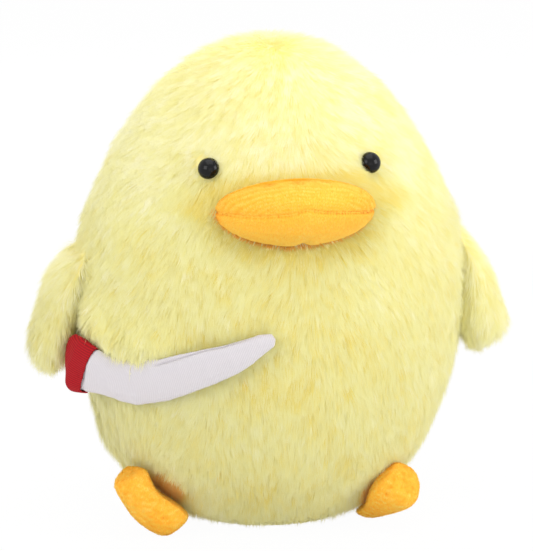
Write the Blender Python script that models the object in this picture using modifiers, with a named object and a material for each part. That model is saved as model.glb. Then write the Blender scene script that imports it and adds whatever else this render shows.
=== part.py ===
# Plush duck: an egg-shaped stuffed body with sewn bill, bead eyes, wings, feet and a soft toy knife.
# Metres, +Z up. The duck looks along -Y, and its left side is +X. The origin is the middle of its flat base.

import math

import bmesh
import bpy
from mathutils import Matrix, Vector

# Body
BODY_WIDTH = 0.228
BODY_DEPTH = 0.192
BODY_HEIGHT = 0.279
BODY_WALL = 0.008
# Height share and width share of the body's outline, from the base up to the crown
BODY_SHARES = [
    (0.0, 0.42), (0.03, 0.585), (0.08, 0.695), (0.15, 0.82), (0.25, 0.914),
    (0.35, 0.975), (0.47, 1.0), (0.60, 0.957), (0.70, 0.867), (0.80, 0.738),
    (0.88, 0.592), (0.94, 0.425), (0.98, 0.255), (0.995, 0.13), (1.0, 0.0),
]

# Clearances between neighbours, how far a cutter runs past what it cuts, and when two points are one
SEAM_GAP = 0.0003
SKIN_GAP = 0.0003
OVERRUN = 0.004
MERGE_DISTANCE = 0.00001

# Eyes. A height share here and below is a share of the body's height.
EYE_SPACING = 0.0898
EYE_HEIGHT_SHARE = 0.769
EYE_RADIUS = 0.006
EYE_DOME = 0.0052
EYE_SINK = 0.0035
EYE_STEM_RADIUS = 0.002
EYE_STEM_LENGTH = 0.0095
WASHER_RADIUS = 0.0075
WASHER_THICKNESS = 0.0018
WASHER_SETTLE = 0.0008

# Bill
BILL_WIDTH = 0.0885
BILL_HEIGHT_SHARE = 0.6955
BILL_REACH = 0.029
BILL_STANDOFF = 0.001
BILL_RISE = 0.0172
BILL_DROP = 0.0205
BILL_WALL = 0.002
BILL_LIFT_SHARE = 0.16

# Wings
WING_LENGTH = 0.085
WING_WIDTH = 0.060
WING_THICKNESS = 0.026
WING_WALL = 0.004
SHOULDER_HEIGHT_SHARE = 0.613
SHOULDER_SINK = 0.0015
WING_SPLAY = {"left": math.radians(3.5), "right": math.radians(1.4)}
# Share of the wing's length from the shoulder, and its outset, width and thickness shares
WING_SHARES = [
    (0.0, 0.000, 0.66, 0.45), (0.24, 0.125, 0.88, 0.66), (0.52, 0.200, 1.00, 0.92), (0.85, 0.225, 0.98, 1.05),
    (1.0, 0.230, 0.94, 1.05),
]

# Feet
FOOT_LENGTH = 0.048
FOOT_WIDTH = 0.0285
FOOT_THICKNESS = 0.0285
FOOT_WALL = 0.002
FOOT_FLOAT = 0.0003
# Each ankle's place as shares of the body's width and depth, and the toe's direction, lift and swing
FOOT_OUTSET_SHARE = {"left": 0.235, "right": 0.299}
FOOT_FORWARD_SHARE = {"left": 0.204, "right": 0.230}
FOOT_TURN = {"left": math.radians(-58.0), "right": math.radians(-184.0)}
FOOT_LIFT = {"left": math.radians(24.0), "right": math.radians(51.0)}
FOOT_SWING = {"left": math.radians(-25.0), "right": math.radians(40.0)}
# Share of the foot's length from its sewn end, and its width and thickness shares
FOOT_SHARES = [(0.0, 0.92, 1.0), (0.5, 0.98, 1.0), (1.0, 1.0, 1.0)]

# Knife
KNIFE_LENGTH = 0.137
KNIFE_WIDTH = 0.0275
KNIFE_THICKNESS = 0.0085
KNIFE_WALL = 0.0012
KNIFE_STANDOFF = 0.0008
KNIFE_HEIGHT_SHARE = 0.353
KNIFE_SETBACK = 0.0220
HANDLE_LENGTH = 0.0250
# Share of the knife's length from its handle's end, and its rise, width and thickness shares
KNIFE_SHARES = [
    (0.00, 0.046, 1.14, 1.35), (0.08, 0.034, 1.20, 1.38), (0.17, 0.012, 1.06, 1.20),
    (0.26, -0.012, 0.98, 1.00), (0.40, -0.012, 0.95, 1.00), (0.55, 0.040, 0.93, 1.00),
    (0.70, 0.094, 0.84, 0.95), (0.85, 0.148, 0.68, 0.85), (1.00, 0.200, 0.46, 0.70),
]

SIDES = {"left": 1, "right": -1}
COLOURS = {
    "fur": ((0.89, 0.82, 0.44), 0.95),
    "felt": ((0.95, 0.52, 0.08), 0.85),
    "white": ((0.80, 0.77, 0.80), 0.80),
    "red": ((0.38, 0.012, 0.022), 0.80),
    "bead": ((0.012, 0.012, 0.013), 0.12),
    "washer": ((0.70, 0.70, 0.68), 0.50),
    "stuffing": ((0.86, 0.86, 0.84), 1.00),
}


def read_share(table, at, column=1):
    """Reads one column of a table of shares along a smooth curve that never overshoots its points."""
    last = len(table) - 1

    def slope(i):
        return (table[i + 1][column] - table[i][column]) / (table[i + 1][0] - table[i][0])

    def tangent(i):
        if i in (0, last):
            return slope(min(i, last - 1))
        before, after = slope(i - 1), slope(i)
        return 2 * before * after / (before + after) if before * after > 0 else 0

    at = min(max(at, table[0][0]), table[-1][0])
    low = max(i for i in range(last) if table[i][0] <= at)
    span = table[low + 1][0] - table[low][0]
    t = (at - table[low][0]) / span
    ease = t * t * (3 - 2 * t)
    bend = span * t * (1 - t) * ((1 - t) * tangent(low) - t * tangent(low + 1))
    return table[low][column] + (table[low + 1][column] - table[low][column]) * ease + bend


def clear_scene():
    for old in list(bpy.data.objects):
        bpy.data.objects.remove(old, do_unlink=True)


def new_collection(name):
    made = bpy.data.collections.new(name)
    bpy.context.scene.collection.children.link(made)
    return made


def new_material(name):
    colour, roughness = COLOURS[name]
    made = bpy.data.materials.new(name)
    made.use_nodes = True
    surface = made.node_tree.nodes["Principled BSDF"]
    surface.inputs["Base Color"].default_value = (*colour, 1)
    surface.inputs["Roughness"].default_value = roughness
    surface.inputs["Metallic"].default_value = 0
    made.diffuse_color = (*colour, 1)
    return made


class Model:
    """The collections and materials that every piece below is added to."""

    def __init__(self):
        self.parts = new_collection("plush_duck")
        self.cutters = new_collection("cutters")
        self.materials = {name: new_material(name) for name in COLOURS}

    def add(self, name, bm, material, matrix=None, parent=None):
        """A piece, or a cutter where material is None."""
        mesh = bpy.data.meshes.new(name)
        bm.to_mesh(mesh)
        bm.free()
        made = bpy.data.objects.new(name, mesh)
        if material:
            self.parts.objects.link(made)
            mesh.materials.append(self.materials[material])
            mesh.shade_smooth()
            mesh.set_sharp_from_angle(angle=math.radians(50))
        else:
            self.cutters.objects.link(made)
            made.hide_render = True
            made.display_type = "WIRE"
        made.parent = parent
        if matrix:
            made.matrix_basis = matrix
        return made

    def empty(self, name, matrix, parent=None):
        made = bpy.data.objects.new(name, None)
        made.empty_display_size = EYE_RADIUS
        self.parts.objects.link(made)
        made.parent = parent
        made.matrix_basis = matrix
        return made

    def box(self, name, low, high, parent=None):
        low, high = Vector(low), Vector(high)
        bm = bmesh.new()
        bmesh.ops.create_cube(bm, size=1)
        bmesh.ops.scale(bm, vec=high - low, verts=bm.verts)
        bmesh.ops.translate(bm, vec=(low + high) / 2, verts=bm.verts)
        return self.add(name, bm, None, parent=parent)

    def rod(self, name, radius, bottom, top, matrix, segments=24):
        bm = bmesh.new()
        bmesh.ops.create_cone(
            bm, cap_ends=True, segments=segments, radius1=radius, radius2=radius, depth=top - bottom
        )
        bmesh.ops.translate(bm, vec=(0, 0, (bottom + top) / 2), verts=bm.verts)
        return self.add(name, bm, None, matrix)

    def turned(self, name, outline, material, matrix, steps, closed=False):
        """A profile of radius and height pairs, running down its outer side, turned round Z."""
        bm = bmesh.new()
        points = [bm.verts.new((radius, 0, height)) for radius, height in outline]
        for pair in zip(points, points[1:] + points[:1] if closed else points[1:]):
            bm.edges.new(pair)
        made = self.add(name, bm, material, matrix)
        screw = made.modifiers.new("Screw", "SCREW")
        screw.steps = steps
        screw.render_steps = steps
        screw.use_merge_vertices = True
        screw.merge_threshold = MERGE_DISTANCE
        screw.use_smooth_shade = True
        return made

    def egg(self, name, inset, material, floor=0.0, place=None, steps=40, rings=16):
        """The body's egg, pulled in by inset all round and cut flat at the floor."""
        width, depth = BODY_WIDTH - 2 * inset, BODY_DEPTH - 2 * inset
        height = BODY_HEIGHT - inset - floor
        levels = [(1 + math.cos(math.pi * ring / rings)) / 2 for ring in range(rings + 1)]
        outline = [(read_share(BODY_SHARES, level) * width / 2, floor + level * height) for level in levels]
        flattened = Matrix.Diagonal((1, depth / width, 1, 1))
        return self.turned(name, outline + [(0, floor)], material, (place or Matrix()) @ flattened, steps)

    def blob(self, name, path, sizes, length, inset, material, parent=None, segments=16, rings=12, square=4):
        """A stuffed limb along a path: path takes a length share, a sideways and an outward distance."""
        bm = bmesh.new()
        bmesh.ops.create_uvsphere(bm, u_segments=segments, v_segments=rings, radius=1)
        tip = math.cos(math.pi / rings / 2)
        for vertex in bm.verts:
            x, y, z = vertex.co
            share = (inset + (1 - z) / 2 * (length - 2 * inset)) / length
            full = fullness(z, square) if abs(z) < tip else 0
            width, thickness = sizes(share)
            radial = math.hypot(x, y) or 1
            across = (width / 2 - inset) * full * x / radial
            out = (thickness / 2 - inset) * full * y / radial
            vertex.co = path(share, across, out)
        face_outward(bm)
        return self.add(name, bm, material, parent=parent)

    def slab(self, name, path, width, near, far, parent=None, start=0, end=1, slices=11):
        """A cutter that follows a path from one share to another, between two outward distances."""
        bm = bmesh.new()
        bmesh.ops.create_cube(bm, size=1)
        for step in range(1, slices):
            bmesh.ops.bisect_plane(
                bm, geom=bm.verts[:] + bm.edges[:] + bm.faces[:],
                plane_co=(step / slices - 1 / 2, 0, 0), plane_no=(1, 0, 0),
            )
        margin = 1 / slices
        first = start - margin if start == 0 else start
        last = end + margin if end == 1 else end
        for vertex in bm.verts:
            share = first + (vertex.co.x + 1 / 2) * (last - first)
            vertex.co = path(share, vertex.co.y * width, far if vertex.co.z > 0 else near)
        face_outward(bm)
        return self.add(name, bm, None, parent=parent)


def fullness(along, square):
    """How full a stuffed limb is between its ends at -1 and 1: 2 is round, and more is squarer."""
    return max(1 - abs(along) ** square, 0) ** (1 / square)


def face_outward(bm):
    """Faces a bent shape outward, in triangles, because its bent quads aren't flat."""
    bmesh.ops.triangulate(bm, faces=bm.faces)
    bm.normal_update()
    bmesh.ops.recalc_face_normals(bm, faces=bm.faces)


def cut(piece, *cutters, operation="DIFFERENCE"):
    for cutter in cutters:
        boolean = piece.modifiers.new(cutter.name, "BOOLEAN")
        boolean.operation = operation
        boolean.object = cutter
    return piece


def body_section(height):
    """Half the body's width and half its depth at a height."""
    share = read_share(BODY_SHARES, height / BODY_HEIGHT)
    return share * BODY_WIDTH / 2, share * BODY_DEPTH / 2


def face_point(x, height):
    """The point on the front of the body at x and a height."""
    half_width, half_depth = body_section(height)
    return Vector((x, -half_depth * math.sqrt(1 - (x / half_width) ** 2), height))


def face_frame(x, height):
    """A frame on the front of the body whose Z points straight out of it."""
    step = EYE_RADIUS
    along = face_point(x + step, height) - face_point(x - step, height)
    up = face_point(x, height + step) - face_point(x, height - step)
    out = along.cross(up).normalized()
    side = along.normalized()
    turned = Matrix((side, out.cross(side), out)).transposed()
    return Matrix.Translation(face_point(x, height)) @ turned.to_4x4()


def make_body(model):
    """Four wall panels with their seams in the middle planes, a base panel and the stuffing."""
    reach = BODY_WIDTH
    top = BODY_HEIGHT + OVERRUN
    half_seam = SEAM_GAP / 2
    hollow = model.egg("body_hollow", BODY_WALL, None, BODY_WALL + SKIN_GAP)
    below = model.box("body_below", (-reach, -reach, -OVERRUN), (reach, reach, BODY_WALL))
    panels = {}
    for end, low_y, high_y in (("front", -reach, -half_seam), ("back", half_seam, reach)):
        for side, way in SIDES.items():
            low_x, high_x = sorted((way * half_seam, way * reach))
            quarter = model.box(
                f"{end}_{side}_quarter", (low_x, low_y, BODY_WALL + SEAM_GAP), (high_x, high_y, top)
            )
            panel = model.egg(f"body_{end}_{side}", 0, "fur")
            cut(panel, hollow)
            panels[end, side] = cut(panel, quarter, operation="INTERSECT")
    cut(model.egg("body_base", 0, "fur"), below, operation="INTERSECT")
    stuffing = model.egg("body_stuffing", BODY_WALL + SKIN_GAP, "stuffing", BODY_WALL + 2 * SKIN_GAP)
    return panels, stuffing


def make_eyes(model, panels, stuffing):
    """Bead eyes on stems through the wall, each held by a washer inside it."""
    dome_steps = 6
    turns = [math.pi / 2 * step / dome_steps for step in range(dome_steps + 1)]
    dome = [(EYE_RADIUS * math.sin(turn), EYE_DOME * math.cos(turn)) for turn in turns]
    stem_end = -EYE_STEM_LENGTH
    chamfer = EYE_STEM_RADIUS / 4
    bead = dome + [
        (EYE_RADIUS - chamfer, -chamfer),
        (EYE_STEM_RADIUS, -chamfer),
        (EYE_STEM_RADIUS, stem_end + chamfer),
        (EYE_STEM_RADIUS - chamfer, stem_end),
        (0, stem_end),
    ]
    washer_top = EYE_SINK - BODY_WALL - WASHER_SETTLE
    washer_bottom = washer_top - WASHER_THICKNESS
    bore = EYE_STEM_RADIUS + SKIN_GAP
    ring = [
        (bore, washer_top), (WASHER_RADIUS, washer_top),
        (WASHER_RADIUS, washer_bottom), (bore, washer_bottom),
    ]
    for side, way in SIDES.items():
        frame = face_frame(way * EYE_SPACING / 2, EYE_HEIGHT_SHARE * BODY_HEIGHT)
        seat = frame @ Matrix.Translation((0, 0, -EYE_SINK))
        model.turned(f"{side}_eye", bead, "bead", seat, 20)
        model.turned(f"{side}_eye_washer", ring, "washer", seat, 20, closed=True)
        socket = model.rod(
            f"{side}_eye_socket", EYE_RADIUS + SKIN_GAP, -chamfer - SKIN_GAP, EYE_SINK + OVERRUN, seat
        )
        passage = model.rod(f"{side}_eye_passage", bore, stem_end - OVERRUN, 0, seat, 16)
        pocket = model.rod(
            f"{side}_washer_pocket", WASHER_RADIUS + SKIN_GAP, washer_bottom - SKIN_GAP, 0, seat
        )
        stem_pocket = model.rod(f"{side}_stem_pocket", bore, stem_end - SKIN_GAP, 0, seat, 16)
        cut(panels["front", side], socket, passage)
        cut(stuffing, pocket, stem_pocket)


def make_limb(model, name, path, sizes, length, wall, material, skins, cutters, parent=None, **detail):
    """Two sewn panels round their stuffing, cut clear of their neighbours."""
    samples = 8
    widths, thicknesses = zip(*(sizes(step / samples) for step in range(samples + 1)))
    core = model.blob(f"{name}_core", path, sizes, length, wall, None, parent, **detail)
    panels = []
    for skin, way in zip(skins, (1, -1)):
        near, far = way * SEAM_GAP / 2, -way * max(thicknesses)
        other = model.slab(f"{skin}_other", path, 2 * max(widths), near, far, parent)
        panel = model.blob(skin, path, sizes, length, 0, material, parent, **detail)
        panels.append(cut(panel, other, core, *cutters))
    core_inset = wall + SKIN_GAP
    filling = model.blob(f"{name}_stuffing", path, sizes, length, core_inset, "stuffing", parent, **detail)
    cut(filling, *cutters)
    return panels, core


def make_bill(model, skin):
    """A broad, flat bill, tipped up, with a seam round its edge."""
    height = BILL_HEIGHT_SHARE * BODY_HEIGHT
    half_width, half_depth = body_section(height)

    def path(share, across, out):
        x = (share - 1 / 2) * BILL_WIDTH
        y = across - BILL_STANDOFF - half_depth * math.sqrt(1 - (x / half_width) ** 2)
        lift = -BILL_LIFT_SHARE * (y + half_depth)
        return x, y, height + lift + (out if out > 0 else out * BILL_DROP / BILL_RISE)

    make_limb(
        model, "bill", path, lambda share: (2 * BILL_REACH, 2 * BILL_RISE), BILL_WIDTH, BILL_WALL, "felt",
        ("bill_upper", "bill_lower"), [skin], segments=20, rings=16, square=2,
    )


def make_wings(model, skin):
    """Flippers that hang from the shoulders and bow out round the body."""
    height = SHOULDER_HEIGHT_SHARE * BODY_HEIGHT
    outset = body_section(height)[0] - SHOULDER_SINK

    def sizes(share):
        return (
            WING_WIDTH * read_share(WING_SHARES, share, 2),
            WING_THICKNESS * read_share(WING_SHARES, share, 3),
        )

    for side, way in SIDES.items():
        shoulder = Matrix.Translation((way * outset, 0, height))
        hinge = model.empty(f"{side}_shoulder", shoulder @ Matrix.Rotation(-way * WING_SPLAY[side], 4, "Y"))

        def path(share, across, out, way=way):
            bow = WING_LENGTH * read_share(WING_SHARES, share, 1)
            return way * (bow + out), across, -share * WING_LENGTH

        make_limb(
            model, f"{side}_wing", path, sizes, WING_LENGTH, WING_WALL, "fur",
            (f"{side}_wing_outer", f"{side}_wing_inner"), [skin], hinge,
        )


def make_feet(model, skin):
    """Sausage-shaped feet, each floppy at its sewn end."""
    square = 4
    samples = 20
    swing_steps = 2

    def sizes(share):
        return (
            FOOT_WIDTH * read_share(FOOT_SHARES, share, 1),
            FOOT_THICKNESS * read_share(FOOT_SHARES, share, 2),
        )

    def path(share, across, out):
        return share * FOOT_LENGTH - FOOT_THICKNESS / 2, across, out

    def underside(share):
        return Vector(path(share, 0, -sizes(share)[1] / 2 * fullness(2 * share - 1, square)))

    for side, way in SIDES.items():
        turn = Matrix.Rotation(FOOT_TURN[side], 4, "Z") @ Matrix.Rotation(-FOOT_LIFT[side], 4, "Y")
        lowest = min((turn @ underside(step / samples)).z for step in range(samples + 1))
        outset, forward = FOOT_OUTSET_SHARE[side] * BODY_WIDTH, FOOT_FORWARD_SHARE[side] * BODY_DEPTH
        place = Matrix.Translation((way * outset, -forward, FOOT_FLOAT - lowest))
        ankle = model.empty(f"{side}_ankle", place @ turn)
        room = [skin]
        for step in range(1, swing_steps + 1):
            swing = Matrix.Rotation(-FOOT_SWING[side] * step / swing_steps, 4, "Z")
            swung = place @ swing @ place.inverted()
            room.append(model.egg(f"{side}_foot_room_{step}", -SKIN_GAP, None, -SKIN_GAP, swung))
        make_limb(
            model, f"{side}_foot", path, sizes, FOOT_LENGTH, FOOT_WALL, "felt",
            (f"{side}_foot_upper", f"{side}_foot_sole"), room, ankle, rings=10, square=square,
        )


def make_knife(model):
    """A soft curved blade and its handle, lying along the belly."""
    knife_height = KNIFE_HEIGHT_SHARE * BODY_HEIGHT
    half_width, half_depth = body_section(knife_height)
    off_body = KNIFE_STANDOFF + KNIFE_THICKNESS * max(row[3] for row in KNIFE_SHARES) / 2
    half_width, half_depth = half_width + off_body, half_depth + off_body
    start = math.asin(KNIFE_SETBACK / half_depth)

    def sizes(share):
        return (
            KNIFE_WIDTH * read_share(KNIFE_SHARES, share, 2),
            KNIFE_THICKNESS * read_share(KNIFE_SHARES, share, 3),
        )

    # The turn round the body's middle at even steps along the knife
    steps = 200
    turns = [start]
    for _ in range(steps):
        speed = math.hypot(half_width * math.sin(turns[-1]), half_depth * math.cos(turns[-1]))
        turns.append(turns[-1] + KNIFE_LENGTH / steps / speed)

    def path(share, across, out):
        nudge = 1 / 50
        rise = read_share(KNIFE_SHARES, share + nudge) - read_share(KNIFE_SHARES, share - nudge)
        tilt = math.atan(rise / 2 / nudge)
        along = share - across * math.sin(tilt) / KNIFE_LENGTH
        held = min(max(along, 0), 1)
        place = held * steps
        low = min(int(place), steps - 1)
        turn = turns[low] + (turns[low + 1] - turns[low]) * (place - low)
        height = knife_height + read_share(KNIFE_SHARES, share) * KNIFE_LENGTH + across * math.cos(tilt)
        width_there, depth_there = body_section(height)
        x, y = -width_there * math.cos(turn), -depth_there * math.sin(turn)
        normal = Vector((x / width_there**2, y / depth_there**2, 0)).normalized()
        tangent = Vector((-normal.y, normal.x, 0))
        off = KNIFE_STANDOFF + sizes(held)[1] / 2 + out
        return Vector((x, y, height)) + normal * off + tangent * (along - held) * KNIFE_LENGTH

    thick = sizes(0)[1]
    pivot = path(thick / 2 / KNIFE_LENGTH, 0, 0)
    hinge = model.empty("knife_grip", Matrix.Translation(pivot))

    def local_path(share, across, out):
        return path(share, across, out) - pivot

    join = HANDLE_LENGTH / KNIFE_LENGTH
    half_seam = SEAM_GAP / 2 / KNIFE_LENGTH
    width = 2 * KNIFE_WIDTH
    shape = {"segments": 12, "rings": 14, "square": 5}
    blade_side = model.slab(
        "knife_blade_side", local_path, width, -thick, thick, hinge, start=join - half_seam, slices=12
    )
    handle_side = model.slab(
        "knife_handle_side", local_path, width, -thick, thick, hinge, end=join + half_seam, slices=4
    )
    panels, core = make_limb(
        model, "knife", local_path, sizes, KNIFE_LENGTH, KNIFE_WALL, "white",
        ("knife_blade_front", "knife_blade_back"), [], hinge, **shape,
    )
    for panel in panels:
        cut(panel, handle_side)
    for skin, way in (("knife_handle_outer", 1), ("knife_handle_inner", -1)):
        other = model.slab(f"{skin}_other", local_path, width, way * SEAM_GAP / 2, -way * thick, hinge)
        panel = model.blob(skin, local_path, sizes, KNIFE_LENGTH, 0, "red", hinge, **shape)
        cut(panel, other, core, blade_side)


def main():
    clear_scene()
    model = Model()
    panels, stuffing = make_body(model)
    make_eyes(model, panels, stuffing)
    skin = model.egg("body_skin", -SKIN_GAP, None, -SKIN_GAP)
    make_bill(model, skin)
    make_wings(model, skin)
    make_feet(model, skin)
    make_knife(model)


main()
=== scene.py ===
import math

import bmesh
import bpy
import numpy as np
from mathutils import Matrix, Vector
from mathutils.kdtree import KDTree


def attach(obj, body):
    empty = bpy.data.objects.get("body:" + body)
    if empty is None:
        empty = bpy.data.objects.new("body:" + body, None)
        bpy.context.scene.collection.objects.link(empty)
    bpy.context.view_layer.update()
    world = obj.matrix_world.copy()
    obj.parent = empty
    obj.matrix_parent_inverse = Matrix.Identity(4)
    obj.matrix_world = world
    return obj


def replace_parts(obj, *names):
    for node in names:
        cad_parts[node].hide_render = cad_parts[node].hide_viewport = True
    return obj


# A sitting toy duck in long pile, with a sewn bill, bead eyes, floppy wings and feet and a soft cloth knife.
# It looks along -Y, and its left side is +X. Lengths are in metres.

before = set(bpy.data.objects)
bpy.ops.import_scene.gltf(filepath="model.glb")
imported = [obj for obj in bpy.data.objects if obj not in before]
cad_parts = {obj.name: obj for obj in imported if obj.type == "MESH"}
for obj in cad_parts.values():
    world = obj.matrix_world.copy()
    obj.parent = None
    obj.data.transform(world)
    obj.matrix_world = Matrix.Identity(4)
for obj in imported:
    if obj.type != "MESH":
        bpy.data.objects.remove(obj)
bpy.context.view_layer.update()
scene = bpy.context.scene
print("frame loaded")


# Curves and soft noise

def readShare(table, at):  # smooth curve through a table, never past its points
    x, y = np.array(table, float).T
    slope = np.diff(y) / np.diff(x)
    product = slope[:-1] * slope[1:]
    total = np.where(product > 0, slope[:-1] + slope[1:], 1)
    tangent = np.concatenate([slope[:1], np.where(product > 0, 2 * product / total, 0), slope[-1:]])
    at = np.clip(at, x[0], x[-1])
    low = np.clip(np.searchsorted(x, at, side="right") - 1, 0, len(x) - 2)
    span = x[low + 1] - x[low]
    t = (at - x[low]) / span
    bend = span * t * (1 - t) * ((1 - t) * tangent[low] - t * tangent[low + 1])
    return y[low] + (y[low + 1] - y[low]) * t * t * (3 - 2 * t) + bend


def smoothStep(value, low, high):
    t = np.clip((value - low) / (high - low), 0, 1)
    return t * t * (3 - 2 * t)


def hill(value, middle, size):  # 1 at its middle, falling off over this size
    return np.exp(-((value - middle) / size) ** 2)


def unit(vectors):
    return vectors / np.maximum(np.linalg.norm(vectors, axis=1, keepdims=True), 1e-9)


def ripple(points, size, seed, waves=14):  # soft noise between about -1 and 1, with lumps of this size
    rng = np.random.default_rng(seed)
    ways = unit(rng.normal(size=(waves, 3))) * rng.uniform(0.7, 1.4, (waves, 1)) * math.pi / size
    return np.sin(points @ ways.T + rng.uniform(0, 2 * math.pi, waves)).sum(1) / math.sqrt(waves)


def pushed(points, pushes):  # soft dents and swellings: middle, reach, move
    moves = np.zeros_like(points)
    for middle, size, move in pushes:
        near = np.exp(-(((points - np.array(middle)) / np.array(size)) ** 2).sum(1))
        moves += near[:, None] * np.array(move)
    return moves


# Meshes

mergeGap = 1e-6


def easeOnce(bm):
    bmesh.ops.smooth_vert(bm, verts=bm.verts, factor=0.5, use_axis_x=True, use_axis_y=True, use_axis_z=True)


def turnRound(bm, outline, steps):  # a closed solid from half an outline, as radius and height pairs
    points = [bm.verts.new((radius, 0, height)) for radius, height in outline]
    edges = [bm.edges.new(pair) for pair in zip(points, points[1:])]
    bmesh.ops.spin(
        bm, geom=points + edges, cent=(0, 0, 0), axis=(0, 0, 1), angle=2 * math.pi,
        steps=steps, use_merge=True,
    )
    bmesh.ops.remove_doubles(bm, verts=bm.verts, dist=mergeGap)


def toObject(name, bm, material):
    mesh = bpy.data.meshes.new(name)
    bm.to_mesh(mesh)
    bm.free()
    made = bpy.data.objects.new(name, mesh)
    scene.collection.objects.link(made)
    mesh.materials.append(material)
    mesh.shade_smooth()
    return made


def applyModifiers(piece):
    bpy.context.view_layer.update()
    seen = piece.evaluated_get(bpy.context.evaluated_depsgraph_get())
    shaped = bpy.data.meshes.new_from_object(seen)
    piece.modifiers.clear()
    piece.data = shaped
    return piece


def refine(piece):  # one subdivision
    finer = piece.modifiers.new("Subdivision", "SUBSURF")
    finer.levels = finer.render_levels = 1
    applyModifiers(piece)
    piece.data.shade_smooth()


def corners(mesh):
    co = np.empty(len(mesh.vertices) * 3, np.float32)
    mesh.vertices.foreach_get("co", co)
    return co.reshape(-1, 3).astype(float)


def reshape(piece, shift, ease=0):  # moves every point by shift(points, normals), then eases the skin
    bm = bmesh.new()
    bm.from_mesh(piece.data)
    bm.normal_update()
    points = np.array([v.co[:] for v in bm.verts])
    normals = np.array([v.normal[:] for v in bm.verts])
    for vertex, place in zip(bm.verts, points + shift(points, normals)):
        vertex.co = place
    for _ in range(ease):
        easeOnce(bm)
    bm.to_mesh(piece.data)
    bm.free()
    piece.data.update()


# Materials

def newMaterial(name):
    material = bpy.data.materials.new(name)
    material.use_nodes = True
    tree = material.node_tree
    return material, tree, tree.nodes["Principled BSDF"]


def addNode(tree, kind, settings=None, inputs=None):
    node = tree.nodes.new(kind)
    for key, value in (settings or {}).items():
        setattr(node, key, value)
    for key, value in (inputs or {}).items():
        if isinstance(value, bpy.types.NodeSocket):
            tree.links.new(value, node.inputs[key])
        else:
            node.inputs[key].default_value = value
    return node


def addRamp(tree, fac, stops):
    ramp = addNode(tree, "ShaderNodeValToRGB", inputs={"Fac": fac})
    ramp.color_ramp.interpolation = "EASE"
    while len(ramp.color_ramp.elements) < len(stops):
        ramp.color_ramp.elements.new(0.5)
    for element, (place, colour) in zip(ramp.color_ramp.elements, stops):
        element.position = place
        element.color = (*colour, 1)
    return ramp.outputs["Color"]


def mixToOutput(tree, share, first, second):
    mix = addNode(tree, "ShaderNodeMixShader", inputs={0: share, 1: first, 2: second})
    tree.links.new(mix.outputs[0], tree.nodes["Material Output"].inputs["Surface"])


def srgb(*values):  # colours below are written as read off a screen
    return tuple(((v / 255 + 0.055) / 1.055) ** 2.4 if v > 10 else v / 255 / 12.92 for v in values)


def clothMaterial(name, colour, roughness=0.9):
    material, tree, surface = newMaterial(name)
    surface.inputs["Base Color"].default_value = (*colour, 1)
    surface.inputs["Roughness"].default_value = roughness
    return material


# Camera

photoView = {
    "turn": math.radians(-10.45), "rise": math.radians(14.1), "aim": (0, 0, 0.14),
    "distance": 1.3, "lens": 153.1, "shift": (-0.0041, -0.0092), "clipStart": 0.05,
}


def makeCamera(view):
    camera = bpy.data.objects.new("camera", bpy.data.cameras.new("camera"))
    scene.collection.objects.link(camera)
    flat = math.cos(view["rise"])
    back = Vector((math.sin(view["turn"]) * flat, -math.cos(view["turn"]) * flat, math.sin(view["rise"])))
    camera.location = Vector(view["aim"]) + back * view["distance"]
    camera.rotation_euler = back.to_track_quat("Z", "Y").to_euler()
    camera.data.sensor_fit = "HORIZONTAL"
    camera.data.lens = view["lens"]
    camera.data.shift_x, camera.data.shift_y = view["shift"]
    camera.data.clip_start = view["clipStart"]
    scene.camera = camera


makeCamera(photoView)
scene.view_settings.view_transform = "Standard"
print("camera set")


# Floor, backdrop and lights

studio = {
    "floorSize": 8.0, "floorColour": (0.92, 0.92, 0.92), "floorRoughness": 0.9, "floorGlow": 0.97,
    "worldStrength": 0.83, "lampAim": (0, 0, 0.13),
    "lamps": [  # name, place, size, watts
        ("topSoftbox", (0.0, -0.15, 1.5), 1.3, 7.1),
        ("frontSoftbox", (0.1, -1.4, 0.25), 0.9, 1.1),
        ("leftSoftbox", (-1.3, -1.1, 0.9), 0.9, 6.8),
        ("rightSoftbox", (1.5, -0.9, 0.7), 0.9, 9.5),
        ("backSoftbox", (0.2, 1.4, 1.0), 1.0, 9.0),
    ],
}


def seenDirectly(tree):  # 1 for the camera, a mirror or a lens, 0 for the light that reaches the object
    path = addNode(tree, "ShaderNodeLightPath")
    sight = addNode(
        tree, "ShaderNodeMath", {"operation": "ADD"},
        {0: path.outputs["Is Camera Ray"], 1: path.outputs["Is Glossy Ray"]},
    )
    return addNode(
        tree, "ShaderNodeMath", {"operation": "ADD", "use_clamp": True},
        {0: sight.outputs[0], 1: path.outputs["Is Transmission Ray"]},
    ).outputs[0]


def makeFloor(settings):
    bm = bmesh.new()
    bmesh.ops.create_grid(bm, x_segments=1, y_segments=1, size=settings["floorSize"] / 2)
    material, tree, surface = newMaterial("paleFloor")
    surface.inputs["Base Color"].default_value = (*settings["floorColour"], 1)
    surface.inputs["Roughness"].default_value = settings["floorRoughness"]
    surface.inputs["Specular IOR Level"].default_value = 0
    glow = addNode(tree, "ShaderNodeEmission", inputs={"Color": (1, 1, 1, 1), "Strength": 1.0})
    share = addNode(
        tree, "ShaderNodeMath", {"operation": "MULTIPLY"}, {0: seenDirectly(tree), 1: settings["floorGlow"]}
    )
    mixToOutput(tree, share.outputs[0], surface.outputs[0], glow.outputs[0])
    toObject("floor", bm, material)


def makeBackdrop(settings):
    world = bpy.data.worlds.new("studio")
    world.use_nodes = True
    scene.world = world
    tree = world.node_tree
    strength = addNode(
        tree, "ShaderNodeMapRange",
        inputs={"Value": seenDirectly(tree), "To Min": settings["worldStrength"], "To Max": 1.0},
    )
    background = tree.nodes["Background"]
    background.inputs["Color"].default_value = (1, 1, 1, 1)
    tree.links.new(strength.outputs[0], background.inputs["Strength"])


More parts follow.
